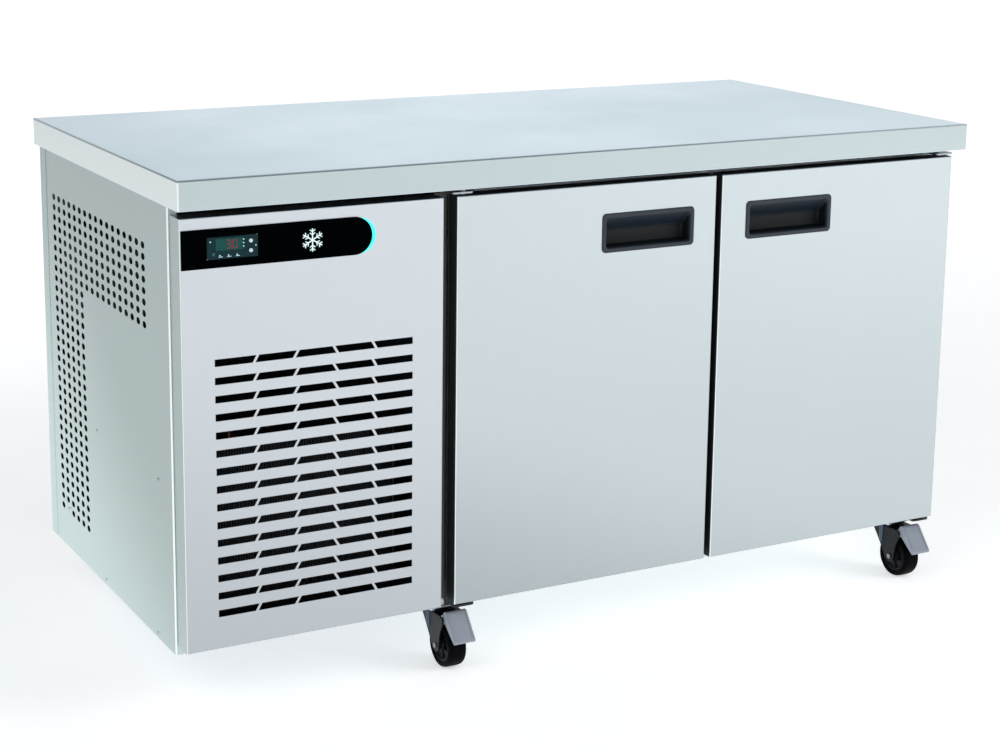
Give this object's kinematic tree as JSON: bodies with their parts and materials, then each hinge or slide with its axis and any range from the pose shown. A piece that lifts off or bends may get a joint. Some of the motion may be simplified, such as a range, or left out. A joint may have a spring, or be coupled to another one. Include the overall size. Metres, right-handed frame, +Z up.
{
  "type": "undercounter refrigerator",
  "caption": "Undercounter refrigerator on castors: flat steel worktop, hinged insulated doors with recessed grips, and a slotted machine compartment with a control strip.",
  "frame": {"origin": "on the floor, under the centre of the worktop", "axes": "+X to the right seen from the front, along the worktop; the doors face -Y; +Z up"},
  "size_m": [1.415, 0.7, 0.82],
  "materials": {
    "worktop_steel": "satin stainless, very fine grain",
    "door_steel": "satin stainless, fine grain",
    "panel_steel": "satin stainless",
    "side_steel": "satin stainless",
    "liner_steel": "bright satin stainless",
    "zinc_steel": "zinc-plated steel",
    "copper_pipe": "drawn copper",
    "black_metal": "black powder coat",
    "grey_plastic": "moulded grey plastic",
    "handle_plastic": "dark blue-grey moulded plastic, fine texture",
    "black_plastic": "black plastic",
    "gasket_rubber": "soft dark grey magnetic gasket",
    "tyre_rubber": "dark grey rubber tread",
    "foam": "rigid polyurethane foam",
    "accent_light": "lit turquoise diffuser",
    "lens_plastic": "smoked lens over a dark teal display",
    "white_plastic": "off-white moulded plastic"
  },
  "bodies": {
    "cabinet": {"worktop_skin": "worktop_steel", "worktop_core": "foam", "outer_case": "door_steel", "insulation_body": "foam", "inner_liner": "liner_steel", "door_mullion": "black_plastic", "top_rail": "black_plastic", "shelf_runner_left": "liner_steel", "shelf_runner_centre": "liner_steel", "shelf_runner_right": "liner_steel", "shelf_left": "liner_steel", "shelf_right": "liner_steel", "unit_side_panel": "side_steel", "unit_base_tray": "zinc_steel", "unit_back_panel": "zinc_steel", "unit_front_panel": "panel_steel", "control_fascia": "black_plastic", "fascia_light": "accent_light", "controller": "lens_plastic", "compressor": "black_metal", "condenser_coil": "zinc_steel", "condenser_fan_shroud": "black_metal", "discharge_line": "copper_pipe", "liquid_line": "copper_pipe", "electrical_box": "grey_plastic", "evaporator_cover": "white_plastic", "evaporator_coil": "zinc_steel", "hinge_top_left": "zinc_steel", "hinge_bottom_left": "black_metal", "hinge_top_right": "zinc_steel", "hinge_bottom_right": "black_metal", "castor_plate_front_left": "zinc_steel", "castor_plate_front_right": "zinc_steel", "castor_plate_rear_left": "zinc_steel", "castor_plate_rear_right": "zinc_steel"},
    "door_left": {"door_skin_left": "door_steel", "door_core_left": "foam", "door_liner_left": "liner_steel", "door_gasket_left": "gasket_rubber", "door_handle_left": "handle_plastic"},
    "door_right": {"door_skin_right": "door_steel", "door_core_right": "foam", "door_liner_right": "liner_steel", "door_gasket_right": "gasket_rubber", "door_handle_right": "handle_plastic"},
    "button_up": {"button_up": "white_plastic"},
    "button_down": {"button_down": "white_plastic"},
    "button_set": {"button_set": "white_plastic"},
    "condenser_fan": {"condenser_fan": "black_plastic"},
    "evaporator_fan": {"evaporator_fan": "black_plastic"},
    "castor_fork_front_left": {"castor_fork_front_left": "black_metal"},
    "castor_wheel_front_left": {"castor_wheel_front_left": "tyre_rubber"},
    "brake_pedal_front_left": {"brake_pedal_front_left": "grey_plastic"},
    "castor_fork_front_right": {"castor_fork_front_right": "black_metal"},
    "castor_wheel_front_right": {"castor_wheel_front_right": "tyre_rubber"},
    "brake_pedal_front_right": {"brake_pedal_front_right": "grey_plastic"},
    "castor_fork_rear_left": {"castor_fork_rear_left": "black_metal"},
    "castor_wheel_rear_left": {"castor_wheel_rear_left": "tyre_rubber"},
    "castor_fork_rear_right": {"castor_fork_rear_right": "black_metal"},
    "castor_wheel_rear_right": {"castor_wheel_rear_right": "tyre_rubber"}
  },
  "joints": [
    {"name": "door_left_hinge", "type": "hinge", "parent": "cabinet", "child": "door_left", "pos_m": [-0.2475, -0.322, 0.439], "axis": [0, 0, -1], "range_deg": [0, 100]},
    {"name": "door_right_hinge", "type": "hinge", "parent": "cabinet", "child": "door_right", "pos_m": [0.6725, -0.322, 0.439], "axis": [0, 0, 1], "range_deg": [0, 100]},
    {"name": "condenser_fan_spin", "type": "hinge", "parent": "cabinet", "child": "condenser_fan", "pos_m": [-0.495, -0.208, 0.264], "axis": [0, 1, 0], "continuous": true},
    {"name": "evaporator_fan_spin", "type": "hinge", "parent": "cabinet", "child": "evaporator_fan", "pos_m": [-0.1857, -0.105, 0.584], "axis": [1, 0, 0], "continuous": true},
    {"name": "button_up_press", "type": "slide", "parent": "cabinet", "child": "button_up", "axis": [0, 1, 0], "range_m": [0, 0.0008], "stiffness_N_per_m": 300},
    {"name": "button_down_press", "type": "slide", "parent": "cabinet", "child": "button_down", "axis": [0, 1, 0], "range_m": [0, 0.0008], "stiffness_N_per_m": 300},
    {"name": "button_set_press", "type": "slide", "parent": "cabinet", "child": "button_set", "axis": [0, 1, 0], "range_m": [0, 0.0008], "stiffness_N_per_m": 300},
    {"name": "castor_front_left_swivel", "type": "hinge", "parent": "cabinet", "child": "castor_fork_front_left", "pos_m": [-0.2505, -0.262, 0.097], "axis": [0, 0, 1], "continuous": true},
    {"name": "castor_front_left_roll", "type": "hinge", "parent": "castor_fork_front_left", "child": "castor_wheel_front_left", "pos_m": [-0.2505, -0.29, 0.03718], "axis": [1, 0, 0], "continuous": true},
    {"name": "brake_front_left_press", "type": "hinge", "parent": "castor_fork_front_left", "child": "brake_pedal_front_left", "pos_m": [-0.2505, -0.304, 0.082], "axis": [1, 0, 0], "range_deg": [0, 12]},
    {"name": "castor_front_right_swivel", "type": "hinge", "parent": "cabinet", "child": "castor_fork_front_right", "pos_m": [0.6595, -0.262, 0.097], "axis": [0, 0, 1], "continuous": true},
    {"name": "castor_front_right_roll", "type": "hinge", "parent": "castor_fork_front_right", "child": "castor_wheel_front_right", "pos_m": [0.6595, -0.29, 0.03718], "axis": [1, 0, 0], "continuous": true},
    {"name": "brake_front_right_press", "type": "hinge", "parent": "castor_fork_front_right", "child": "brake_pedal_front_right", "pos_m": [0.6595, -0.304, 0.082], "axis": [1, 0, 0], "range_deg": [0, 12]},
    {"name": "castor_rear_left_swivel", "type": "hinge", "parent": "cabinet", "child": "castor_fork_rear_left", "pos_m": [-0.2505, 0.262, 0.097], "axis": [0, 0, 1], "continuous": true},
    {"name": "castor_rear_left_roll", "type": "hinge", "parent": "castor_fork_rear_left", "child": "castor_wheel_rear_left", "pos_m": [-0.2505, 0.234, 0.03718], "axis": [1, 0, 0], "continuous": true},
    {"name": "castor_rear_right_swivel", "type": "hinge", "parent": "cabinet", "child": "castor_fork_rear_right", "pos_m": [0.6595, 0.262, 0.097], "axis": [0, 0, 1], "continuous": true},
    {"name": "castor_rear_right_roll", "type": "hinge", "parent": "castor_fork_rear_right", "child": "castor_wheel_rear_right", "pos_m": [0.6595, 0.234, 0.03718], "axis": [1, 0, 0], "continuous": true}
  ]
}
